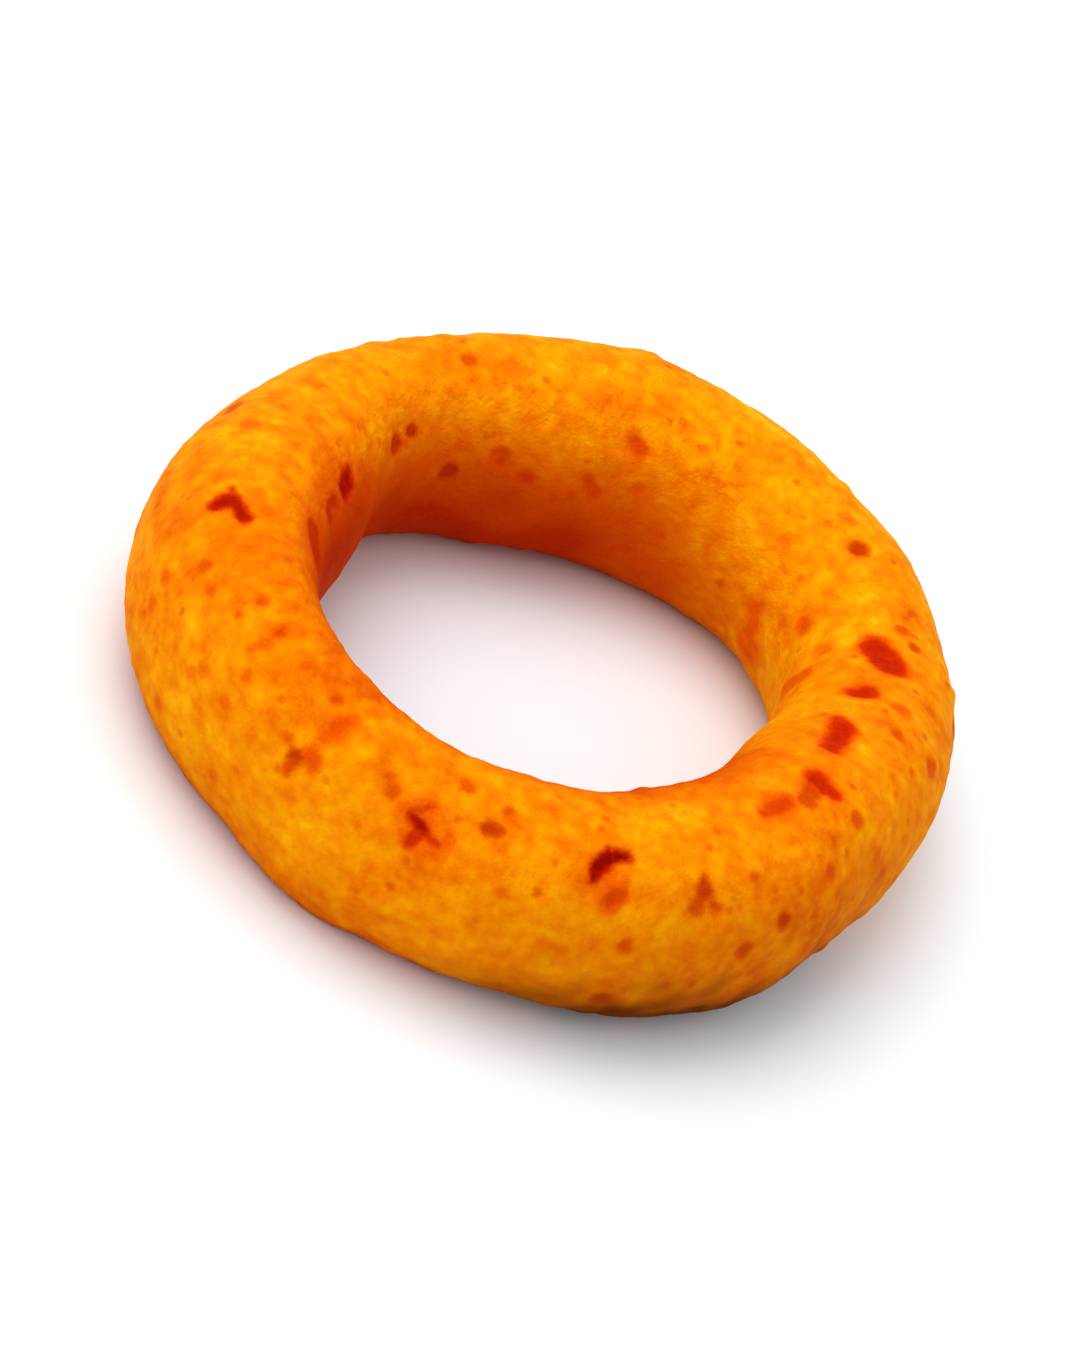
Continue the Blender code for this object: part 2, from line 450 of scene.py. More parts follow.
@dataclass(frozen=True)
class Ripples:
    """Low undulations all over the crust, at a golden turn from each other and at random round the tube."""

    count: int = 90
    spread: Span = (2.6 * MM, 4.6 * MM)
    height: float = 0.22 * MM
    seed: int = 11

    def lumps(self) -> list[Lump]:
        """Draws each ripple's section, spread and height, in that order.

        Returns:
            The ripples, as lumps.
        """
        draw = random.Random(self.seed)
        return [
            Lump(
                turn,
                draw.uniform(0, 360),
                draw.uniform(*self.spread),
                draw.uniform(-self.height, self.height),
            )
            for turn in scattered_turns(self.count)
        ]


@dataclass(frozen=True)
class Blisters:
    """Small domes where steam lifted the batter, some of them burst and sunk in the middle.

    A dent is as many times deeper than its dome is high as the dent's depth says.
    """

    count: int = 900
    radius: Span = (0.7 * MM, 1.9 * MM)
    steepness: Span = (0.04, 0.10)
    burst_share: float = 0.28
    dent_depth: float = 1.6
    dent_squeeze: float = 3.5
    seed: int = 23

    def relief(self, grid: "Grid") -> Array:
        """Works out how far the blisters raise the crust.

        A dome's height is its top times the square of one less the squared distance over its squared radius.
        A burst one loses the same shape from its middle, with the squared distance times the squeeze.

        Args:
            grid: the grid of the plain tube.

        Returns:
            Heights in metres, on the grid.
        """
        draw = random.Random(self.seed)
        raised = np.zeros(grid.turn.shape)
        for turn in scattered_turns(self.count):
            middle = grid.tube.place(turn, draw.uniform(0, 360))
            radius = draw.uniform(*self.radius)
            top = radius * draw.uniform(*self.steepness)
            burst = draw.random() < self.burst_share
            columns = grid.columns(turn, radius)
            squares = np.sum((grid.plain[columns] - middle) ** 2, axis=-1) / radius**2
            raised[columns] += top * np.clip(1 - squares, 0, 1) ** 2
            if burst:
                dent = np.clip(1 - self.dent_squeeze * squares, 0, 1) ** 2
                raised[columns] -= self.dent_depth * top * dent
        return raised


@dataclass(frozen=True)
class HiddenScorches:
    """Browned spots where the view doesn't reach. Widths are in millimetres, and the rest in degrees."""

    count: int = 26
    width: Span = (0.8, 2.4)
    reach: float = 6.0
    far_turns: Span = (20, 190)
    far_sections: Span = (-45, 45)
    under_sections: Span = (250, 318)
    burns: tuple[Burn, ...] = (Burn.BLUSH, Burn.AMBER, Burn.AMBER, Burn.RUSSET, Burn.BROWN, Burn.RED)
    seed: int = 41

    def spots(self) -> list[Scorch]:
        """Draws the spots: short strokes, from a blush to red.

        Returns:
            The spots, at golden turns: on the outer side in the far half of the ring, else underneath.
        """
        draw = random.Random(self.seed)
        spots = []
        for turn in scattered_turns(self.count):
            far_side = self.far_turns[0] < turn < self.far_turns[1]
            section = draw.uniform(*(self.far_sections if far_side else self.under_sections))
            end = (turn + draw.uniform(0, self.reach), section + draw.uniform(-self.reach, self.reach))
            widths = [draw.uniform(*self.width) for _ in range(2)]
            places = ((turn, section, widths[0]), (*end, widths[1]))
            spots.append(Scorch(draw.choice(self.burns), places))
        return spots


class Grid:
    """The plain tube on an even grid of turns and sections, with its outward directions."""

    def __init__(self, tube: Tube, turn_steps: int, section_steps: int) -> None:
        """Works out the grid.

        Args:
            tube: the plain tube.
            turn_steps: columns of the grid, round the ring.
            section_steps: rows of the grid, round the tube.
        """
        turns = np.arange(turn_steps) * math.tau / turn_steps
        sections = np.arange(section_steps) * math.tau / section_steps
        self.tube = tube
        self.turn, self.section = np.meshgrid(turns, sections, indexing="ij")
        self.plain = tube.points(self.turn, self.section)
        self.outward = tube.normals(self.turn, self.section)
        self.narrowest = np.hypot(self.plain[..., 0], self.plain[..., 1]).min() * math.tau / turn_steps

    def columns(self, turn: float, reach: float) -> Array:
        """Finds the columns that lie within a reach of one turn, across the join too.

        Args:
            turn: the angle round the ring, in degrees.
            reach: the distance in metres.

        Returns:
            Numbers of columns.
        """
        count = len(self.turn)
        middle = round(turn / 360 * count)
        half = math.ceil(reach / self.narrowest) + 1
        return np.arange(middle - half, middle + half + 1) % count

    def turned_from(self, degrees: float) -> Array:
        """How far each point's turn is from this one, the shorter way round, in degrees."""
        return np.degrees(np.arccos(np.cos(self.turn - math.radians(degrees))))

    def lumps(self, lumps: Sequence[Lump]) -> Array:
        """Adds up lumps over the grid: each is its height times a bell curve of the distance to its middle.

        Args:
            lumps: the lumps, of any height.

        Returns:
            The sum, on the grid.
        """
        total = np.zeros(self.turn.shape)
        for lump in lumps:
            middle = self.tube.place(lump.turn, lump.section)
            squares = np.sum((self.plain - middle) ** 2, axis=-1)
            total += lump.height * np.exp(-squares / (2 * lump.spread**2))
        return total


@dataclass(frozen=True)
class HoleToastAndShade:
    """The darkening of the hole's wall towards red-brown: partly deeper browning, partly painted shade. Spans
    and places are degrees, round the ring or round the tube.
    """

    right: float = 26
    right_fade: Span = (22, 82)
    right_share: float = 0.06
    front: float = 270
    front_fade: Span = (75, 125)
    front_start: float = 88
    far_lowering: float = 38
    wall: float = 80
    underneath: Span = (330, 270)
    patches: SpaceNoise = SpaceNoise(6 * MM, 31, 0.25)

    def share(self, grid: Grid) -> Array:
        """Works out how far the wall of the hole is darkened, partly by browning and partly by painted shade.

        It rises by a smooth step down the wall, from the crest at the front and from lower on the far side.
        It is least at the right of the hole, whose wall faces the light, fades out underneath, and wide noise
        breaks it up.

        Args:
            grid: the grid of the plain tube.

        Returns:
            A share from 0 to 1.
        """
        degrees = np.degrees(grid.section)
        share = self.right_share
        share += (1 - self.right_share) * rise(grid.turned_from(self.right), *self.right_fade)
        start = self.front_start + self.far_lowering * rise(grid.turned_from(self.front), *self.front_fade)
        browned = share * rise(degrees, start, start + self.wall) * rise(degrees, *self.underneath)
        return np.clip(browned * (1 + self.patches.at(grid.plain)), 0, 1)


@dataclass(frozen=True)
class FootShade:
    """Painted shade low on the outer side, which goes on a little way underneath.

    The ends are degrees round the ring from its middle, and the other spans are degrees round the tube.
    """

    middle: float = 318
    ends: Span = (50, 14)
    least_share: float = 0.16
    low: Span = (5, -37)
    side: Span = (75, -5)
    side_share: float = 0.28
    underneath: Span = (-125, -75)
    border: SpaceNoise = SpaceNoise(3.4 * MM, 35, 12)
    patches: tuple[SpaceNoise, ...] = (SpaceNoise(5 * MM, 33, 0.25), SpaceNoise(1.8 * MM, 36, 0.10))

    def share(self, grid: Grid) -> Array:
        """Works out how far the foot is darkened with painted shade.

        It rises downwards by a full smooth step low on the side and a faint one above it, most of all at the
        front right, and fades out underneath. Noise makes its border uneven and breaks it up.

        Args:
            grid: the grid of the plain tube.

        Returns:
            A share from 0 to a little over 1, past which the crust is darkest.
        """
        degrees = (np.degrees(grid.section) + 180) % 360 - 180
        degrees += self.border.at(grid.plain)
        share = self.least_share
        share += (1 - self.least_share) * rise(grid.turned_from(self.middle), *self.ends)
        low = rise(degrees, *self.low)
        side = self.side_share * rise(degrees, *self.side)
        share *= (low + side - low * side) * rise(degrees, *self.underneath)
        return np.maximum(share * (1 + sum(noise.at(grid.plain) for noise in self.patches)), 0)


@dataclass(frozen=True)
class Layer:
    """One noise of a finish: its width in metres, how many finer layers it has, and how strong they are.

    The seed moves the pattern, so that no two are alike, and the strength multiplies it.
    """

    width: float
    detail: float
    rough: float
    seed: int
    strength: float


# How far one seed's noise lies from the next one's.
SEED_STEP = (0.37, 0.11, 0.23)


class Graph:
    """The nodes of one material, added from Python."""

    def __init__(self, tree: bpy.types.NodeTree) -> None:
        """Keeps the tree that the nodes go in, and finds the piece's own coordinates."""
        self.tree = tree
        self.position = self.add("ShaderNodeTexCoord").outputs["Object"]

    def add(self, kind: str, settings: dict[str, Any] | None = None,
            sockets: dict[str | int, Any] | None = None) -> bpy.types.Node:
        """Adds a node, sets it up, and fills its sockets.

        Args:
            kind: the node's type, such as ShaderNodeTexNoise.
            settings: its properties. One named stops gives a ramp's places and colours.
            sockets: by name or number, a number, a colour, a vector, a Number, or an output to link.

        Returns:
            The node.
        """
        node = self.tree.nodes.new(kind)
        for name, value in (settings or {}).items():
            if name == "stops":
                self.set_stops(node.color_ramp, value)
            else:
                setattr(node, name, value)
        for name, value in (sockets or {}).items():
            value = value.socket if isinstance(value, Number) else value
            if isinstance(value, bpy.types.NodeSocket):
                self.tree.links.new(value, node.inputs[name])
            else:
                node.inputs[name].default_value = value
        return node

    @staticmethod
    def set_stops(ramp: bpy.types.ColorRamp, stops: Stops) -> None:
        """Gives a ramp its stops.

        Args:
            ramp: a new ramp, which has two stops.
            stops: places from 0 to 1, rising, with their colours.
        """
        while len(ramp.elements) < len(stops):
            ramp.elements.new(1.0)
        for element, (place, colour) in zip(ramp.elements, stops):
            element.position = place
            element.color = colour

    def maths(self, operation: str, *values: "Number | float") -> "Number":
        """The result of a Math node with this operation on these values."""
        node = self.add("ShaderNodeMath", {"operation": operation}, dict(enumerate(values)))
        return Number(self, node.outputs[0])

    def attribute(self, name: str) -> "Number":
        """The number that the piece's mesh holds under this name."""
        return Number(self, self.add("ShaderNodeAttribute", {"attribute_name": name}).outputs["Fac"])

    def noise(self, layer: Layer) -> "Number":
        """Noise in the piece's own space, from about half the layer's strength below 0 to half above it."""
        moved = self.add("ShaderNodeVectorMath", {"operation": "ADD"},
                         {0: self.position, 1: [layer.seed * step for step in SEED_STEP]})
        node = self.add("ShaderNodeTexNoise", None,
                        {"Vector": moved.outputs[0], "Scale": 1 / layer.width,
                         "Detail": layer.detail, "Roughness": layer.rough})
        return (Number(self, node.outputs["Fac"]) - 0.5) * layer.strength

    def cells(self, width: float) -> "tuple[Number, Number]":
        """Scattered dots in the piece's own space.

        Args:
            width: the usual gap between dots, in metres.

        Returns:
            The distance to the nearest dot, in gaps, and a random number that goes with that dot.
        """
        node = self.add("ShaderNodeTexVoronoi", None, {"Vector": self.position, "Scale": 1 / width})
        split = self.add("ShaderNodeSeparateColor", None, {0: node.outputs["Color"]})
        return Number(self, node.outputs["Distance"]), Number(self, split.outputs[0])

    def mix(self, share: "Number | float", first: Any, second: Any) -> bpy.types.NodeSocket:
        """The first colour with this share of the second."""
        node = self.add("ShaderNodeMix", {"data_type": "RGBA"}, {0: share, 6: first, 7: second})
        return node.outputs[2]

    def ramp(self, place: "Number", stops: Stops) -> bpy.types.NodeSocket:
        """The colour at a place of a ramp with these stops."""
        return self.add("ShaderNodeValToRGB", {"stops": stops}, {0: place}).outputs["Color"]


class Number:
    """A number that varies over the surface. Python's operators on it add Math nodes."""

    def __init__(self, graph: Graph, socket: bpy.types.NodeSocket) -> None:
        """Wraps a socket of the graph."""
        self.graph = graph
        self.socket = socket

    def __add__(self, other: "Number | float") -> "Number":
        """The sum."""
        return self.graph.maths("ADD", self, other)

    __radd__ = __add__

    def __sub__(self, other: "Number | float") -> "Number":
        """The difference."""
        return self.graph.maths("SUBTRACT", self, other)

    def __rsub__(self, other: float) -> "Number":
        """The other number less this one."""
        return self.graph.maths("SUBTRACT", other, self)

    def __mul__(self, other: "Number | float") -> "Number":
        """The product."""
        return self.graph.maths("MULTIPLY", self, other)

    __rmul__ = __mul__

    def eased(self, start: float, end: float) -> "Number":
        """0 up to the start, 1 from the end on, and a smooth S between them."""
        node = self.graph.add("ShaderNodeMapRange", {"interpolation_type": "SMOOTHSTEP"},
                              {"Value": self, "From Min": start, "From Max": end})
        return Number(self.graph, node.outputs["Result"])


def new_material(name: str) -> tuple[bpy.types.Material, bpy.types.Node]:
    """Makes a material with this name.

    Args:
        name: the material's name.

    Returns:
        The material, and its shader.
    """
    made = bpy.data.materials.new(name)
    made.use_nodes = True
    return made, made.node_tree.nodes["Principled BSDF"]


@dataclass(frozen=True)
class FriedBatter:
    """The finish of the crust: golden batter with a mottle, freckles, browned spots and a film of oil.

    A span says where a share starts and where it is full. Most of the browns stand at levels of Burn. The
    hole's red-brown is partly browning and partly painted shade, and the foot's darkening and the darkest
    colour underneath are painted shade.
    """

    name: str = "fried_batter"
    golds: Stops = (
        (0.00, (0.69, 0.120, 0.001, 1.0)),
        (0.28, (0.81, 0.205, 0.001, 1.0)),
        (0.52, (0.87, 0.290, 0.002, 1.0)),
        (0.75, (0.91, 0.385, 0.003, 1.0)),
        (1.00, (0.95, 0.520, 0.022, 1.0)),
    )
    browns: Stops = (
        (0.00, (0.74, 0.125, 0.001, 1.0)),
        (0.30, (0.71, 0.082, 0.000, 1.0)),
        (0.42, (0.60, 0.064, 0.000, 1.0)),
        (0.52, (0.57, 0.045, 0.000, 1.0)),
        (0.64, (0.46, 0.034, 0.000, 1.0)),
        (0.76, (0.57, 0.024, 0.000, 1.0)),
        (0.86, (0.46, 0.010, 0.000, 1.0)),
        (1.00, (0.27, 0.003, 0.000, 1.0)),
    )
    blush: Colour = (0.80, 0.120, 0.001, 1.0)
    fringe: Colour = (0.80, 0.125, 0.001, 1.0)
    # The hole's red-brown is partly browning and partly painted shade; the next two colours are painted shade
    # low on the outer side and underneath.
    toast: Colour = (0.50, 0.038, 0.001, 1.0)
    foot_brown: Colour = (0.20, 0.043, 0.001, 1.0)
    sole_shadow: Colour = (0.12, 0.022, 0.001, 1.0)
    freckle: Colour = (0.66, 0.080, 0.001, 1.0)
    tone_level: float = 0.53
    tone_layers: tuple[Layer, ...] = (
        Layer(0.5 * MM, 2, 0.5, 1, 0.20),
        Layer(1.7 * MM, 2, 0.5, 2, 0.78),
        Layer(4.0 * MM, 2, 0.5, 3, 0.80),
        Layer(13 * MM, 2, 0.5, 4, 0.30),
    )
    crumb_width: float = 1.3 * MM
    crumb_radius: float = 0.42
    crumb_lightness: float = 0.20
    freckle_width: float = 2.3 * MM
    freckle_edge: Span = (0.06, 0.32)
    freckle_chance: Span = (0.50, 0.80)
    freckle_share: float = 0.65
    freckle_layer: Layer = Layer(0.5 * MM, 2, 0.6, 5, 0.18)
    halo_level: float = 0.75
    halo_layer: Layer = Layer(1.4 * MM, 3, 0.6, 6, 1.2)
    halo_span: Span = (0.0, 1.1)
    fringe_span: Span = (-0.75, 0.15)
    fringe_share: float = 0.9
    blush_span: Span = (0.0, 0.6)
    toast_and_shade_blush: float = 0.6
    foot_blush: float = 0.15
    sole_span: Span = (0.78, 1.10)
    sole_share: float = 0.80
    edge_layers: tuple[Layer, ...] = (Layer(1.5 * MM, 2, 0.5, 7, 0.9), Layer(0.6 * MM, 2, 0.5, 17, 0.4))
    scorch_border: Span = (-0.38, 0.42)
    scorch_cover: float = 0.42
    depth_cover: float = 0.62
    inner_span: Span = (0.1, 1.0)
    inner_depth: float = 0.06
    red_span: Span = (0.66, 0.76)
    red_depth: float = 0.05
    scorch_layer: Layer = Layer(0.8 * MM, 3, 0.6, 8, 0.32)
    scorch_level: float = -0.02
    grain: Layer = Layer(0.32 * MM, 3, 0.55, 9, 0.08)
    crumbs: Layer = Layer(0.95 * MM, 3, 0.6, 10, 0.32)
    pore_width: float = 1.0 * MM
    pore_edge: Span = (0.05, 0.26)
    pore_chance: Span = (0.55, 0.60)
    pore_height: float = -0.05
    crust_edge: Span = (-0.15, 0.35)
    crust_height: float = -0.03
    relief_step: float = 1.0 * MM
    roughness: float = 0.65
    dull_layer: Layer = Layer(0.9 * MM, 3, 0.6, 12, 0.30)
    gloss_edge: Span = (-0.1, 0.3)
    scorch_gloss: float = 0.08
    sheen: float = 0.02
    sheen_tint: Colour = (1.0, 0.50, 0.10, 1.0)
    glow: float = 0.18
    glow_reach: tuple[float, float, float] = (1.0, 0.35, 0.08)
    glow_depth: float = 2.0 * MM

    def tone(self, graph: Graph) -> Number:
        """Works out how light the batter is, from 0 for amber to 1 for pale gold.

        Args:
            graph: the material's nodes.

        Returns:
            A level plus crumbs that are lighter in their middles, noise of four sizes, and the listed light
            and dark stretches, a few of them painted shade and one a painted highlight.
        """
        gap, _ = graph.cells(self.crumb_width)
        tone = self.tone_level + (self.crumb_radius - gap) * self.crumb_lightness
        for layer in self.tone_layers:
            tone = tone + graph.noise(layer)
        return tone + graph.attribute("tone")

    def freckles(self, graph: Graph) -> Number:
        """The share of the freckles: ragged dots, of which only some show."""
        gap, chance = graph.cells(self.freckle_width)
        ragged = gap + graph.noise(self.freckle_layer)
        shown = (1 - ragged.eased(*self.freckle_edge)) * chance.eased(*self.freckle_chance)
        return shown * self.freckle_share

    def colour(self, graph: Graph) -> bpy.types.NodeSocket:
        """Lays freckles, blushes, the hole's red-brown, which is partly browning and partly painted shade,
        browned spots and the painted shade of the foot over the golds.

        Where the foot's painted shade is strongest, a darker painted shadow covers it.

        Args:
            graph: the material's nodes.

        Returns:
            The colour.
        """
        base = graph.mix(self.freckles(graph), graph.ramp(self.tone(graph), self.golds), self.freckle)
        haze = graph.attribute("halo") * (self.halo_level + graph.noise(self.halo_layer))
        base = graph.mix(haze.eased(*self.halo_span), base, self.blush)
        inward, depth = self.ragged_edge(graph), graph.attribute("scorch_depth")
        base = graph.mix(inward.eased(*self.fringe_span) * depth * self.fringe_share, base, self.fringe)
        # Down the hole's wall: a blush, then red-brown, partly browning and partly painted shade.
        toast = graph.attribute("toast")
        base = graph.mix(toast.eased(*self.blush_span) * self.toast_and_shade_blush, base, self.blush)
        base = graph.mix(toast, base, self.toast)
        base = graph.mix(self.scorched(inward, depth), base, self.scorch_colour(graph, depth))
        # Low on the outer side: painted shade, darkest where it is strongest.
        foot = graph.attribute("foot_brown")
        base = graph.mix(foot.eased(*self.blush_span) * self.foot_blush, base, self.blush)
        base = graph.mix(foot, base, self.foot_brown)
        return graph.mix(foot.eased(*self.sole_span) * self.sole_share, base, self.sole_shadow)

    def ragged_edge(self, graph: Graph) -> Number:
        """The way in from a spot's edge, in millimetres, made ragged by noise of two sizes."""
        wide, close = self.edge_layers
        return graph.attribute("scorch_edge") + graph.noise(wide) + graph.noise(close)

    def scorched(self, inward: Number, depth: Number) -> Number:
        """Works out how strongly a spot covers the batter: more with its depth, over a soft border.

        Args:
            inward: the ragged way in from the spot's edge.
            depth: how far the spot has browned.

        Returns:
            0 outside a spot, and up to 1 inside it.
        """
        return inward.eased(*self.scorch_border) * (self.scorch_cover + depth * self.depth_cover)

    def scorch_colour(self, graph: Graph, depth: Number) -> bpy.types.NodeSocket:
        """Works out the brown of a spot: a little uneven, and deeper in its middle, most of all in a red one.

        Args:
            graph: the material's nodes.
            depth: how far the spot has browned.

        Returns:
            The colour.
        """
        deeper = depth.eased(*self.red_span) * self.red_depth + self.inner_depth
        inner = graph.attribute("scorch_edge").eased(*self.inner_span) * deeper
        return graph.ramp(depth + inner + graph.noise(self.scorch_layer) + self.scorch_level, self.browns)

    def height(self, graph: Graph) -> Number:
        """Works out the relief too fine for the mesh: grains, crumbs, pores and sunk spots.

        Args:
            graph: the material's nodes.

        Returns:
            The height in millimetres.
        """
        gap, chance = graph.cells(self.pore_width)
        pores = (1 - gap.eased(*self.pore_edge)) * chance.eased(*self.pore_chance) * self.pore_height
        sunk = graph.attribute("scorch_edge").eased(*self.crust_edge) * self.crust_height
        return graph.noise(self.grain) + graph.noise(self.crumbs) + pores + sunk

    def material(self) -> bpy.types.Material:
        """Builds the material.

        Returns:
            The material, with the colour, the roughness and the relief of the batter.
        """
        made, shader = new_material(self.name)
        graph = Graph(made.node_tree)
        gloss = graph.attribute("scorch_edge").eased(*self.gloss_edge) * self.scorch_gloss
        rough = self.roughness + graph.noise(self.dull_layer) - gloss
        bump = graph.add("ShaderNodeBump", None,
                         {"Strength": 1.0, "Distance": self.relief_step, "Height": self.height(graph)})
        links = made.node_tree.links
        links.new(self.colour(graph), shader.inputs["Base Color"])
        links.new(rough.socket, shader.inputs["Roughness"])
        links.new(bump.outputs[0], shader.inputs["Normal"])
        shader.inputs["Metallic"].default_value = 0.0
        shader.inputs["Specular Tint"].default_value = self.sheen_tint
        shader.inputs["Specular IOR Level"].default_value = self.sheen
        shader.inputs["Subsurface Weight"].default_value = self.glow
        shader.inputs["Subsurface Radius"].default_value = self.glow_reach
        shader.inputs["Subsurface Scale"].default_value = self.glow_depth
        return made


@dataclass(frozen=True)
class Paper:
    """The finish of the floor: plain matt white."""

    name: str = "pale_floor"
    colour: Colour = (0.86, 0.91, 0.95, 1.0)
    roughness: float = 0.9
    sheen: float = 0.1

    def material(self) -> bpy.types.Material:
        """Builds the material.

        Returns:
            A plain matt material.
        """
        made, shader = new_material(self.name)
        shader.inputs["Base Color"].default_value = self.colour
        shader.inputs["Roughness"].default_value = self.roughness
        shader.inputs["Specular IOR Level"].default_value = self.sheen
        return made


@dataclass(frozen=True)
class OnionRing:
    """The ring itself: its form, the relief of its crust, where it browned, and where it carries painted
    shade.

    The edge reach is how many millimetres outside a browned spot its edge is still told.
    """

    tube: Tube = Tube()
    ripples: Ripples = Ripples()
    blisters: Blisters = Blisters()
    hidden: HiddenScorches = HiddenScorches()
    # The hole's red-brown is partly browning and partly painted shade; the foot's darkening is painted shade.
    toast: HoleToastAndShade = HoleToastAndShade()
    foot: FootShade = FootShade()
    finish: FriedBatter = FriedBatter()
    turn_steps: int = 576
    section_steps: int = 172
    foot_depth: float = 0.45 * MM
    foot_rounding: float = 0.15 * MM
    dimples: tuple[SpaceNoise, ...] = (
        SpaceNoise(4.2 * MM, 0, 0.11 * MM),
        SpaceNoise(2.0 * MM, 1, 0.095 * MM),
        SpaceNoise(1.1 * MM, 2, 0.060 * MM),
    )
    crater_edge: SpaceNoise = SpaceNoise(0.9 * MM, 7, 0.22 * MM)
    crater_wall: Span = (-0.1 * MM, 0.5 * MM)
    crater_depth: float = 0.11 * MM
    rim_place: float = -0.35 * MM
    rim_width: float = 0.30 * MM
    rim_height: float = 0.05 * MM
    edge_reach: float = 3.0

    def footed(self, height: Array) -> Array:
        """Presses the underside flat.

        Less the foot's depth, the height is 0 where it falls below the rounding's lower end, itself above the
        upper end, and between them the square of the way past the lower end over four roundings.

        Args:
            height: heights before the ring is set down.

        Returns:
            Heights above the surface that it rests on.
        """
        above = height - self.foot_depth
        eased = (above + self.foot_rounding) ** 2 / (4 * self.foot_rounding)
        return np.where(above <= -self.foot_rounding, 0, np.where(above < self.foot_rounding, eased, above))

    def set_down(self, grid: Grid, relief: Array) -> Array:
        """The plain tube moved outwards by the relief, with its underside pressed flat."""
        points = grid.plain + grid.outward * relief[..., None]
        points[..., 2] = self.footed(points[..., 2])
        return points

    def fine_relief(self, grid: Grid, edge: Array, depth: Array) -> Array:
        """Works out the small relief of the batter.

        It adds the dimples, which are noise of three widths, the blisters and nibs, and the craters of the
        browned spots: a floor that sinks by a smooth step from the edge, and round it a low rim, which is a
        bell curve of the way in.

        Args:
            grid: the grid of the plain tube.
            edge: the way in from the edge of the nearest spot.
            depth: how far that spot has browned.

        Returns:
            Heights in metres, on the grid.
        """
        relief = self.blisters.relief(grid) + grid.lumps(NIBS)
        relief += sum(noise.at(grid.plain) for noise in self.dimples)
        ragged = edge + self.crater_edge.at(grid.plain)
        relief -= self.crater_depth * depth * rise(ragged, *self.crater_wall)
        relief += self.rim_height * depth * np.exp(-(((ragged - self.rim_place) / self.rim_width) ** 2))
        return relief

    def scorch_fields(self, grid: Grid) -> tuple[Array, Array, Array]:
        """Works out the browned spots over the grid.

        The edge is the greatest way in of any stroke, and that stroke gives the depth. Halos add up, each a
        bell curve of the way out.

        Args:
            grid: the grid of the plain tube.

        Returns:
            The way in from the nearest spot's edge, that spot's browning, and the halo.
        """
        edge = np.full(grid.turn.shape, -1.0)
        depth = np.zeros(grid.turn.shape)
        halo = np.zeros(grid.turn.shape)
        for scorch in SCORCHES + tuple(self.hidden.spots()):
            inward = scorch.inward(grid.tube, grid.plain)
            depth = np.where(inward > edge, scorch.burn.value, depth)
            edge = np.maximum(edge, inward)
            if scorch.halo:
                halo += np.exp(-((np.minimum(inward, 0) / scorch.halo) ** 2))
        return edge, depth, np.clip(halo, 0, 1)

    def mesh(self) -> bpy.types.Mesh:
        """Builds the crust's closed mesh, with the numbers that its material reads.

        Returns:
            The mesh, in place over the solid.
        """
        grid = Grid(self.tube, self.turn_steps, self.section_steps)
        edge, depth, halo = self.scorch_fields(grid)
        main = grid.lumps([*SWELLINGS, *PITS, *self.ripples.lumps()])
        form = self.set_down(grid, main)
        middle = (form.min(axis=(0, 1)) + form.max(axis=(0, 1))) / 2
        points = self.set_down(grid, main + self.fine_relief(grid, edge, depth))
        points[..., :2] -= middle[:2]
        mesh = closed_grid_mesh(NODE, points)
        set_numbers(mesh, "scorch_edge", np.maximum(edge / MM, -self.edge_reach))
        set_numbers(mesh, "scorch_depth", depth)
        set_numbers(mesh, "halo", halo)
        # Partly browning and partly painted shade in the hole, painted shade at the foot, and some painted
        # light in the tone.
        set_numbers(mesh, "toast", self.toast.share(grid))
        set_numbers(mesh, "foot_brown", self.foot.share(grid))
        set_numbers(mesh, "tone", grid.lumps(TONES_AND_PAINTED_LIGHT))
        return mesh

    def dress(self) -> bpy.types.Object:
        """Makes the ring's object, gives it its finish, and sets it in place of the solid.

        Returns:
            The object.
        """
        mesh = self.mesh()
        mesh.materials.append(self.finish.material())
        piece = linked("crust", mesh)
        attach(piece, "root")
        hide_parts(NODE)
        return piece


def closed_grid_mesh(name: str, points: Array) -> bpy.types.Mesh:
    """Makes a smooth mesh of a grid that closes on itself both ways.

    Each face joins a point to the next one along, the one across from that, and the one across from itself.

    Args:
        name: the mesh's name.
        points: the grid, with the three coordinates along its last axis.

    Returns:
        The mesh, with its faces outwards.
    """
    columns, rows = points.shape[:2]
    number = np.arange(columns * rows).reshape(columns, rows)
    along = np.roll(number, -1, axis=0)
    faces = np.stack([number, along, np.roll(along, -1, axis=1), np.roll(number, -1, axis=1)], axis=-1)
    mesh = bpy.data.meshes.new(name)
    mesh.vertices.add(number.size)
    mesh.vertices.foreach_set("co", points.astype(np.float32).ravel())
    mesh.loops.add(faces.size)
    mesh.loops.foreach_set("vertex_index", faces.astype(np.int32).ravel())
    mesh.polygons.add(number.size)
    mesh.polygons.foreach_set("loop_start", np.arange(0, faces.size, 4, dtype=np.int32))
    mesh.update(calc_edges=True)
    mesh.shade_smooth()
    return mesh


def set_numbers(mesh: bpy.types.Mesh, name: str, values: Array) -> None:
    """Gives each vertex a number, under a name that a material can read."""
    mesh.attributes.new(name, "FLOAT", "POINT").data.foreach_set("value", values.astype(np.float32).ravel())


def linked(name: str, data: bpy.types.ID) -> bpy.types.Object:
    """Makes an object of a mesh, a camera or a light, and links it to the scene.

    Args:
        name: the object's name.
        data: what it shows.

    Returns:
        The object.
    """
    made = bpy.data.objects.new(name, data)
    bpy.context.scene.collection.objects.link(made)
    return made


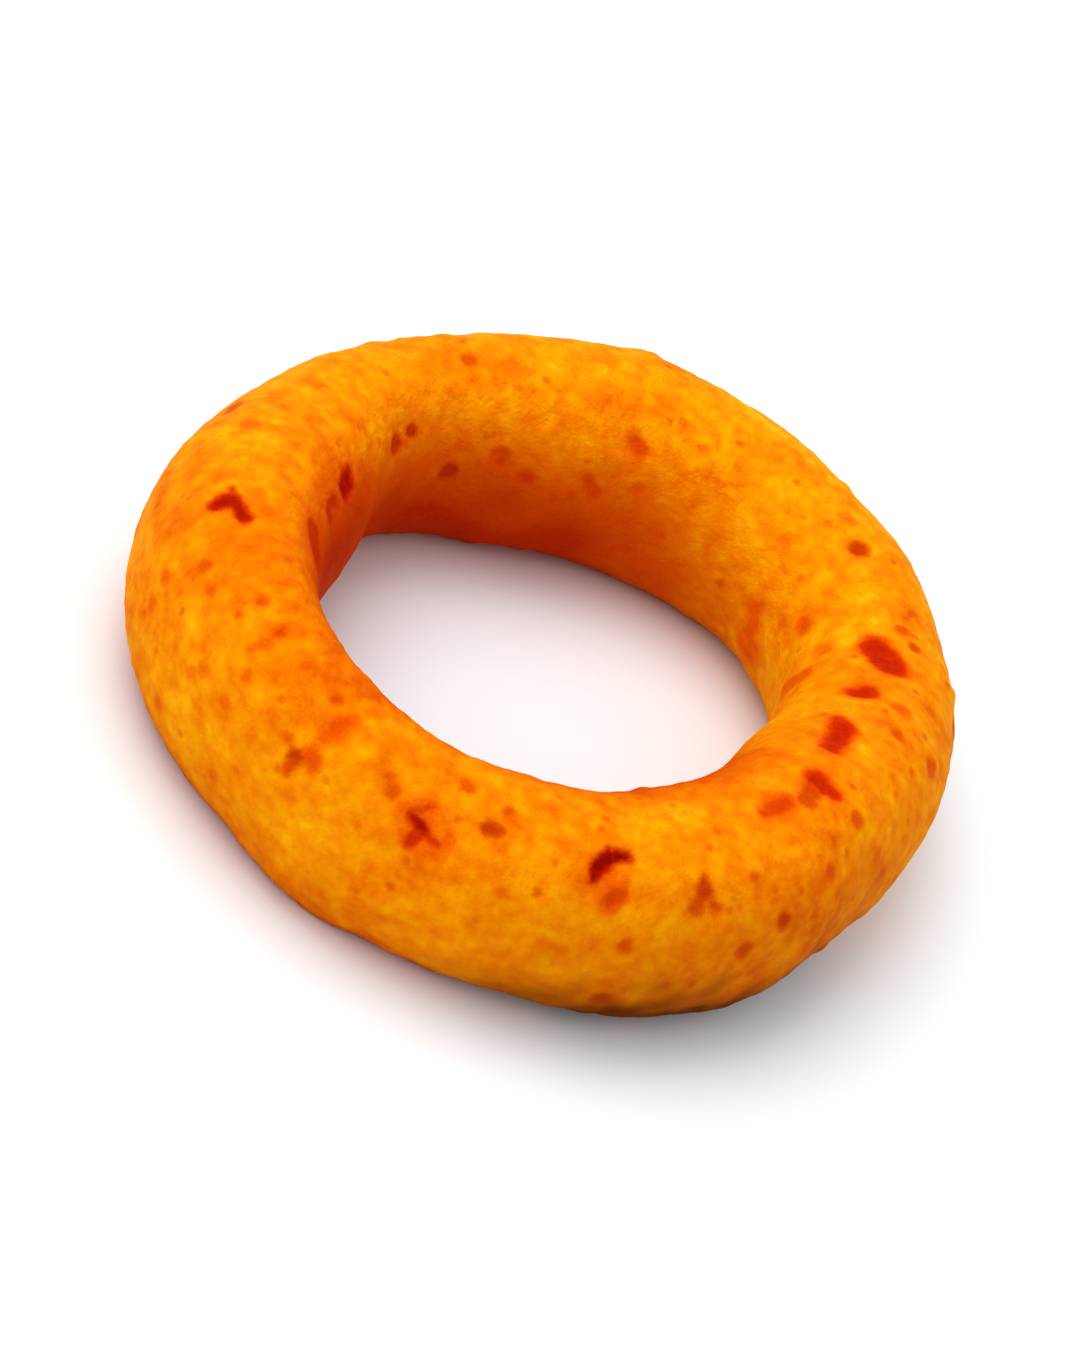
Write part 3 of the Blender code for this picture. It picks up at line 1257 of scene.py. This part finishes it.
def posed(name: str, data: bpy.types.ID, axes: tuple[Array, Array, Array], place: Array) -> bpy.types.Object:
    """Makes an object that faces a way of its own: its matrix has the axes as columns, moved to the place.

    Args:
        name: the object's name.
        data: its camera or light.
        axes: its right, its up and the way back from what it faces.
        place: where it stands.

    Returns:
        The object.
    """
    made = linked(name, data)
    turned = Matrix([[*row] for row in np.stack(axes, axis=1)]).to_4x4()
    made.matrix_world = Matrix.Translation(place) @ turned
    return made


@dataclass(frozen=True)
class Viewpoint:
    """The camera: it looks down at the ring from the front, rolled, and the ring fills most of its frame."""

    elevation: float = 36.84
    roll: float = 27.93
    distance: float = 0.5915
    ring_share: float = 0.77
    frame_size: tuple[int, int] = (1080, 1350)
    sensor: float = 36.0
    clip: Span = (0.05, 20.0)
    aim_rounds: int = 4

    def axes(self) -> tuple[Array, Array, Array]:
        """Works out the camera's own directions.

        Returns:
            Its right, its up, and the way back from the ring to it.
        """
        down, roll = math.radians(self.elevation), math.radians(self.roll)
        back = np.array([0, -math.cos(down), math.sin(down)])
        level_up = np.array([0, math.sin(down), math.cos(down)])
        level_right = np.array([1, 0, 0])
        right = math.cos(roll) * level_right + math.sin(roll) * level_up
        up = math.cos(roll) * level_up - math.sin(roll) * level_right
        return right, up, back

    def camera(self, points: Array) -> bpy.types.Object:
        """Makes the camera, with the ring's outline in the middle of its frame.

        Args:
            points: the ring's points, one a row.

        Returns:
            The camera.
        """
        right, up, back = self.axes()
        aim = points.mean(axis=0)
        for _ in range(self.aim_rounds):
            away = points - aim
            scale = self.distance / (self.distance - away @ back)
            across, upward = (away @ right) * scale, (away @ up) * scale
            aim = aim + right * (across.min() + across.max()) / 2 + up * (upward.min() + upward.max()) / 2
        width, height = self.frame_size
        frame_height = (across.max() - across.min()) / self.ring_share * height / width
        data = bpy.data.cameras.new("camera")
        data.sensor_width = self.sensor
        data.lens = self.sensor * self.distance / frame_height
        data.clip_start, data.clip_end = self.clip
        made = posed("camera", data, (right, up, back), aim + back * self.distance)
        bpy.context.scene.camera = made
        return made


@dataclass(frozen=True)
class SoftLight:
    """A square studio light that faces the ring."""

    name: str
    direction: tuple[float, float, float]
    distance: float
    size: float
    power: float

    def build(self) -> bpy.types.Object:
        """Makes the light.

        Returns:
            The light's object.
        """
        data = bpy.data.lights.new(self.name, "AREA")
        data.shape = "SQUARE"
        data.size = self.size
        data.energy = self.power
        away = np.array(self.direction) / np.linalg.norm(self.direction)
        side = np.cross((0, 0, 1), away)
        side /= np.linalg.norm(side)
        return posed(self.name, data, (side, np.cross(away, side), away), away * self.distance)


@dataclass(frozen=True)
class Studio:
    """A pale floor under soft light: a key high up and a little behind, and a broad fill from the left."""

    floor_width: float = 8.0
    sky: Colour = (1.0, 1.0, 1.0, 1.0)
    sky_strength: float = 0.73
    finish: Paper = Paper()
    lights: tuple[SoftLight, ...] = (
        SoftLight("key", (-0.34, 0.16, 0.92), 1.0, 0.80, 3.5),
        SoftLight("left_fill", (-0.50, -0.50, 0.70), 1.3, 1.0, 2.8),
    )

    def floor(self) -> bpy.types.Object:
        """Makes the floor as a square of one face.

        Returns:
            The floor.
        """
        half = self.floor_width / 2
        corners = [(-half, -half, 0), (half, -half, 0), (half, half, 0), (-half, half, 0)]
        mesh = bpy.data.meshes.new("floor")
        mesh.from_pydata(corners, [], [(0, 1, 2, 3)])
        mesh.materials.append(self.finish.material())
        made = linked("floor", mesh)
        return made

    def build(self) -> None:
        """Makes the floor, the sky and the lights."""
        self.floor()
        world = bpy.data.worlds.new("sky")
        world.use_nodes = True
        background = world.node_tree.nodes["Background"]
        background.inputs["Color"].default_value = self.sky
        background.inputs["Strength"].default_value = self.sky_strength
        bpy.context.scene.world = world
        for light in self.lights:
            light.build()
        bpy.context.scene.view_settings.view_transform = "Standard"
        bpy.context.scene.view_settings.look = "Medium High Contrast"


def mesh_points(piece: bpy.types.Object) -> Array:
    """The piece's vertices, one a row."""
    flat = np.empty(len(piece.data.vertices) * 3, np.float32)
    piece.data.vertices.foreach_get("co", flat)
    return flat.reshape(-1, 3).astype(float)


def write_sizes() -> None:
    """Brings the view layer up to date."""
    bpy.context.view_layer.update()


def main() -> None:
    """Builds the ring, the studio and the camera, and reports each."""
    logging.basicConfig(level=logging.INFO, format="%(name)s: %(message)s")
    ring = OnionRing().dress()
    LOG.info("%s has %d faces and stands for %s", ring.name, len(ring.data.polygons), NODE)
    studio = Studio()
    studio.build()
    LOG.info("the floor and %d lights are in place", len(studio.lights))
    camera = Viewpoint().camera(mesh_points(ring))
    LOG.info("the camera has a lens of %.0f mm", camera.data.lens)
    write_sizes()


if __name__ == "__main__":
    main()
